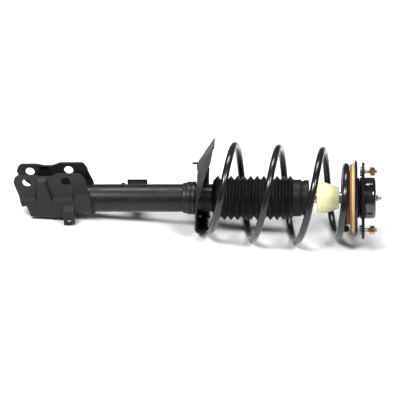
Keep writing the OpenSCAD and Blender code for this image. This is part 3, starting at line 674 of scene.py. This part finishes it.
bump_shader.inputs["Subsurface Weight"].default_value = 0.25
bump_shader.inputs["Subsurface Radius"].default_value = (0.006, 0.005, 0.002)
bump_shader.inputs["Subsurface Scale"].default_value = 1
raised(bump_tree, bump_shader, [
    (grain(bump_tree, 0.0016, 2), 0.00004), (grain(bump_tree, 0.015, 2), 0.0003),
])
fitted(bump, bump_foam, "top_mount", "bump_foam", "bump_stop")

# ---- Rubber isolator ----
# A thick ring of tan rubber between the spring and its upper seat. A lip stands out under the seat,
# and a collar centres the top coil. Below the lip it is painted dark brown, as painted shade under the lip.
seat_neck_r = 0.0224
isolator_low, isolator_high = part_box("upper_isolator")
isolator_r, isolator_x = isolator_high.z, isolator_high.x
flange_x = isolator_x - isolator_edge_thick
collar_r, step_r = 0.0475, coil_top_r + 0.0042
isolator = turned("upper_isolator_moulded", rounded_outline(
    [
        (seat_neck_r, isolator_x), (isolator_r, isolator_x), (isolator_r, isolator_x - 0.0036),
        (isolator_r - 0.0012, isolator_x - 0.0040), (isolator_r - 0.0006, flange_x),
        (step_r, flange_x), (step_r, land_x), (collar_r, land_x),
        (collar_r, isolator_low.x), (collar_r - 0.010, isolator_low.x), (collar_r - 0.012, land_x),
        (seat_neck_r, land_x),
    ],
    [0, 0.0008, 0.0010, 0.0004, 0.0012, 0, 0.001, 0.0012, 0.0018, 0.0015, 0, 0.001],
))
tan_rubber = rubber("isolator_rubber", (0.66, 0.42, 0.19), (0.52, 0.31, 0.13), 0.55)
tan_tree = tan_rubber.node_tree
tan_place = tan_tree.nodes.new("ShaderNodeTexCoord")
tan_parts = tan_tree.nodes.new("ShaderNodeSeparateXYZ")
tan_tree.links.new(tan_place.outputs["Object"], tan_parts.inputs["Vector"])
tan_shader = tan_tree.nodes["Principled BSDF"]
tan_colour = tan_shader.inputs["Base Color"].links[0].from_socket
# Painted shade: below the lip the tan is swapped for a dark brown that stands for the shade falling there.
painted_shade_mask = spread(tan_tree, tan_parts.outputs["X"], 1, 0, flange_x - 0.0004, flange_x + 0.0004)
painted_shade_brown = (0.20, 0.095, 0.042)
tan_tree.links.new(
    mixed(tan_tree, painted_shade_mask, tan_colour, painted_shade_brown), tan_shader.inputs["Base Color"]
)
fitted(isolator, tan_rubber, "upper_seat", "isolator_rubber", "upper_isolator", smooth=45)

# ---- Upper spring seat ----
# A pressed steel dish over the isolator, with its rim turned down. It turns with the spring under
# the bearing, and its black paint has a blue cast.
seat_paint = black_paint("seat_coating", (0.006, 0.007, 0.010), (0.016, 0.018, 0.022), 0.34)
upper_low, upper_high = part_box("upper_spring_seat")
upper_r, upper_x = upper_high.z, upper_high.x
seat_bore_r, rim_x = seat_neck_r - 0.0024, isolator_x - 0.0025
upper = turned("upper_spring_seat_pressed", rounded_outline(
    [
        (seat_bore_r, upper_low.x), (seat_neck_r, upper_low.x), (seat_neck_r, isolator_x),
        (upper_r - 0.0047, isolator_x), (upper_r - 0.0022, rim_x), (upper_r, rim_x),
        (upper_r, isolator_x - 0.0012), (upper_r - 0.0035, upper_x), (seat_bore_r, upper_x),
    ],
    [0.0005, 0.0005, 0, 0.001, 0.0006, 0.0004, 0.0005, 0.0012, 0.002],
))
fitted(upper, seat_paint, "upper_seat", "seat_coating", "upper_spring_seat", smooth=45)

# ---- Strut bearing ----
# Two rings of black nylon with steel balls between them, so the spring can turn when the wheel is
# steered. A rubber lip keeps the dirt out.
nylon = rubber("race_plastic", (0.010, 0.010, 0.012), (0.018, 0.018, 0.019), 0.38)
ring_bore_r, lip_bore_r, ball_r = 0.024, 0.0335, 0.002
groove_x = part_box("bearing_balls")[0].x + ball_r
groove_in, groove_middle, groove_out = 0.02675, 0.02875, 0.03075
groove_edge, groove_depth = 0.00015, 0.00205
for node, name in (
    ("bearing_lower_race", "bearing_lower_ring"),
    ("bearing_upper_race", "bearing_upper_ring"),
):
    ring_low, ring_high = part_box(node)
    ring_r = ring_high.z
    if node == "bearing_lower_race":
        outline = [
            (ring_bore_r, ring_low.x), (ring_r, ring_low.x), (ring_r, ring_high.x),
            (groove_out, groove_x - groove_edge), (groove_middle, groove_x - groove_depth),
            (groove_in, groove_x - groove_edge), (ring_bore_r, ring_high.x),
        ]
    else:
        outline = [
            (ring_bore_r, ring_low.x), (groove_in, groove_x + groove_edge),
            (groove_middle, groove_x + groove_depth), (groove_out, groove_x + groove_edge),
            (ring_r - 0.0018, ring_low.x), (ring_r - 0.0004, ring_low.x + 0.0017),
            (ring_r, ring_low.x + 0.0026), (ring_r, ring_high.x), (ring_bore_r, ring_high.x),
        ]
    race = turned(name, outline)
    body = "upper_seat" if node == "bearing_lower_race" else "top_mount"
    fitted(race, nylon, body, "race_plastic", node)
lip_low, lip_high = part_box("bearing_seal")
lip_edge_r = lip_high.z
lip = turned("bearing_lip", rounded_outline(
    [
        (lip_bore_r, lip_low.x), (lip_edge_r - 0.0004, lip_low.x), (lip_edge_r, lip_high.x - 0.0006),
        (lip_edge_r - 0.0008, lip_high.x), (lip_bore_r, lip_high.x),
    ],
    [0, 0.0003, 0.0003, 0.0003, 0],
))
seal_rubber = rubber("seal_rubber", (0.010, 0.010, 0.010), (0.020, 0.020, 0.020), 0.6)
fitted(lip, seal_rubber, "upper_seat", "seal_rubber", "bearing_seal")

# ---- Top mount: plates and cup ----
# Two lobed steel plates riveted together by the studs' knurls, and a deep-drawn cup over the rubber.
# The cup is glossy black with rounded edges, and its mouth gives a socket room.
for node in ("mount_lower_plate", "mount_plate"):
    sheet_piece = eased(copied(node, node + "_stamped"), 0.0005, 3, 30)
    fitted(sheet_piece, seat_paint, "top_mount", "seat_coating", node)
cup_low, cup_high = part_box("mount_cup")
cup_r, cup_x = cup_high.z, cup_high.x
cup_mouth_r, cup_wall = 0.023, 0.0025
cup = turned("mount_cup_drawn", rounded_outline(
    [
        (cup_r - 0.0004, cup_low.x), (cup_r, cup_low.x + 0.003), (cup_r, cup_x), (cup_mouth_r, cup_x),
        (cup_mouth_r, cup_x - cup_wall), (cup_r - cup_wall, cup_x - cup_wall), (cup_r - cup_wall, cup_low.x),
    ],
    [0.0004, 0.002, 0.006, 0.0007, 0.0007, 0.004, 0.0003],
))
cup_paint = black_paint("cup_paint", (0.005, 0.005, 0.006), (0.011, 0.011, 0.011), 0.16, 0.000003)
cup_shader = cup_paint.node_tree.nodes["Principled BSDF"]
cup_shader.inputs["Specular IOR Level"].default_value = 0.6
cup_shader.inputs["Coat Weight"].default_value = 0.5
cup_shader.inputs["Coat Roughness"].default_value = 0.06
fitted(cup, cup_paint, "top_mount", "cup_paint", "mount_cup", smooth=45)

# ---- Top mount: rubber ----
# Natural rubber bonded to the cup and to the steel core, which carries the rod. It bulges between
# the core and the cup's wall, and shows as a dark ring inside the cup's mouth.
core_r, core_top, core_disc_r, plate_hole_r, rod_washer_r = 0.012, 0.007, 0.024, 0.026, 0.019
core_disc_low, core_disc_high, core_bare = 0.002, 0.0045, 0.001
plates_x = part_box("mount_lower_plate")[0].x
rubber_r = cup_r - cup_wall
rubber_top = cup_x - 0.006
cushion = turned("mount_rubber_bonded", rounded_outline(
    [
        (core_r, rod_shoulder), (plate_hole_r - 0.003, plates_x), (plate_hole_r, plates_x),
        (plate_hole_r, 0), (rubber_r, 0), (rubber_r, rubber_top - 0.001), (rubber_r - 0.003, rubber_top),
        (core_disc_r + 0.003, rubber_top), (core_disc_r, rubber_top - 0.003),
        (rod_washer_r + 0.001, core_top - core_bare), (core_r, core_top - core_bare),
        (core_r, core_disc_high), (core_disc_r, core_disc_high), (core_disc_r, core_disc_low),
        (core_r, core_disc_low),
    ],
    [0, 0.0006, 0, 0, 0, 0.001, 0.001, 0.0015, 0.0015, 0.001, 0, 0, 0, 0, 0],
))
mount_rubber = rubber("mount_rubber", (0.010, 0.010, 0.010), (0.021, 0.020, 0.019), 0.66)
fitted(cushion, mount_rubber, "top_mount", "mount_rubber", "mount_rubber", smooth=45)

# ---- Studs and nuts ----
# Three steel studs, zinc plated, are pressed through the plates from below. Each has a flanged nut
# in yellow zinc run loosely on. The rod's own nut holds it down on a thick washer.


def metal(name, colour, tarnish, rough, ring_depth=0.000006):
    """Bare or plated steel: clouded tarnish over fine turning marks that run round the X axis."""
    material = bpy.data.materials.new(name)
    material.use_nodes = True
    tree = material.node_tree
    shader = tree.nodes["Principled BSDF"]
    shader.inputs["Metallic"].default_value = 1
    clouds = spread(tree, grain(tree, 0.004, 4), 0, 1, 0.38, 0.66)
    tree.links.new(mixed(tree, clouds, colour, tarnish), shader.inputs["Base Color"])
    roughness = spread(tree, grain(tree, 0.003, 4), rough - 0.08, rough + 0.12)
    tree.links.new(roughness, shader.inputs["Roughness"])
    raised(tree, shader, [
        (grain(tree, 0.0004, 1, (1, 0.05, 0.05)), ring_depth), (grain(tree, 0.002, 2), 0.00002),
    ])
    return material


def placed(piece, name, y, z):
    """A copy of a piece that was turned on the damper's axis, with its own mesh, set at a stud."""
    copy = piece.copy()
    copy.data = piece.data.copy()
    copy.name = copy.data.name = name
    bpy.context.scene.collection.objects.link(copy)
    bpy.ops.object.select_all(action="DESELECT")
    copy.select_set(True)
    bpy.context.view_layer.objects.active = copy
    bpy.ops.object.mode_set(mode="EDIT")
    bpy.ops.mesh.select_all(action="SELECT")
    bpy.ops.transform.translate(value=(0, y, z))
    bpy.ops.object.mode_set(mode="OBJECT")
    return copy


def hex_nut(name, flats, low, high, hole, flange=0, flange_thick=0):
    """A hexagonal nut with chamfered corners and bore, and with a conical flange if it has one."""
    corner = flats / math.sqrt(3)
    slope = 0.0013
    nut = turned(name, [
        (hole, low + 0.0004), (hole + 0.0004, low), (corner - slope, low), (corner, low + slope * 0.5),
        (corner, high - slope * 0.5), (corner - slope, high), (hole + 0.0007, high), (hole, high - 0.0007),
    ], 72)
    bpy.ops.mesh.primitive_cylinder_add(
        vertices=6, radius=corner, depth=high - low + 0.004, location=((low + high) / 2, 0, 0),
        rotation=(0, math.pi / 2, 0),
    )
    prism = bpy.context.object
    cut = nut.modifiers.new("flats", "BOOLEAN")
    cut.operation, cut.solver, cut.object = "INTERSECT", "EXACT", prism
    bpy.context.view_layer.objects.active = nut
    bpy.ops.object.modifier_apply(modifier=cut.name)
    bpy.data.objects.remove(prism)
    if flange:
        collar = turned(name + "_flange", [
            (hole, low + 0.0004), (hole + 0.0004, low), (flange - 0.0003, low), (flange, low + 0.0003),
            (flange, low + 0.0008), (flats / 2, low + flange_thick), (hole, low + flange_thick),
        ], 72)
        add = nut.modifiers.new("flange", "BOOLEAN")
        add.operation, add.solver, add.object = "UNION", "EXACT", collar
        bpy.context.view_layer.objects.active = nut
        bpy.ops.object.modifier_apply(modifier=add.name)
        bpy.data.objects.remove(collar)
    return nut


plain_zinc = metal("plain_zinc", (0.36, 0.35, 0.32), (0.20, 0.19, 0.17), 0.34)
yellow_zinc = metal("yellow_zinc", (0.62, 0.43, 0.13), (0.30, 0.17, 0.07), 0.24)
stud_low, stud_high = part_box("mount_studs")
stud_r, stud_top, nut_x = 0.004, stud_high.x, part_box("stud_nuts")[0].x
stud_head_r, stud_thread_r, stud_thread_pitch = 0.0085, stud_r - 0.00015, 0.00125
nut_flats, nut_height, nut_flange_r, nut_flange_thick = 0.013, 0.009, 0.009, 0.0027
rod_nut_flats = 0.018
stud = turned("stud_blank", [
    (0, stud_low.x), (stud_head_r - 0.0005, stud_low.x), (stud_head_r, stud_low.x + 0.0005),
    (stud_head_r, plates_x - 0.0003), (stud_head_r - 0.0002, plates_x), (stud_r + 0.0003, plates_x),
    (stud_r + 0.0003, 0), (stud_r, 0.0003),
    *thread(stud_thread_r, 0.0055, stud_top - 0.0012, stud_thread_pitch, 0.0006),
    (stud_r - 0.0012, stud_top), (0, stud_top),
], 48)
nut = hex_nut(
    "nut_blank", nut_flats, nut_x, nut_x + nut_height, stud_thread_r, nut_flange_r, nut_flange_thick
)
stud_circle_r, stud_angle = 0.0606, math.radians(80.9)
for number in range(3):
    angle = stud_angle + number * 2 * math.pi / 3
    at = (-stud_circle_r * math.cos(angle), stud_circle_r * math.sin(angle))
    stud_copy = placed(stud, f"mount_stud_{number + 1}", *at)
    fitted(stud_copy, plain_zinc, "top_mount", "plain_zinc", "mount_studs")
    nut_copy = placed(nut, f"stud_nut_{number + 1}", *at)
    fitted(nut_copy, yellow_zinc, "top_mount", "yellow_zinc", "stud_nuts")
bpy.data.objects.remove(stud)
bpy.data.objects.remove(nut)
washer_low, washer_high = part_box("rod_washer")
washer = turned("rod_washer_blanked", rounded_outline(
    [
        (rod_thread_r, washer_low.x), (rod_washer_r, washer_low.x), (rod_washer_r, washer_high.x),
        (rod_thread_r, washer_high.x),
    ],
    [0, 0.0003, 0.0007, 0],
))
fitted(washer, plain_zinc, "top_mount", "plain_zinc", "rod_washer")
rod_nut_low, rod_nut_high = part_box("rod_nut")
rod_nut = hex_nut("rod_nut_chamfered", rod_nut_flats, rod_nut_low.x, rod_nut_high.x, rod_thread_r)
fitted(rod_nut, plain_zinc, "top_mount", "plain_zinc", "rod_nut")

# ---- Inside the damper and the mount ----
# The pressure tube, valves, piston and guide are turned or sintered steel, wet with oil. The seal and
# the rebound stop are rubber, and the piston's band is brown plastic. They keep the CAD's shapes.
oily_steel = metal("inner_steel", (0.50, 0.49, 0.47), (0.36, 0.34, 0.30), 0.26)
sintered = metal("sintered_steel", (0.26, 0.25, 0.24), (0.17, 0.16, 0.14), 0.5, 0.000003)
band_plastic = rubber("band_plastic", (0.13, 0.075, 0.040), (0.09, 0.05, 0.03), 0.42)
for material, nodes in (
    (oily_steel, ("pressure_tube", "piston_nut", "bearing_balls", "mount_core")),
    (sintered, ("base_valve", "rod_guide", "piston")),
    (seal_rubber, ("oil_seal", "rebound_stop")),
    (tube_paint, ("tube_cap",)),
    (band_plastic, ("piston_band",)),
):
    for node in nodes:
        for holder in frame["nodes"][node].material_slots:
            holder.material = material
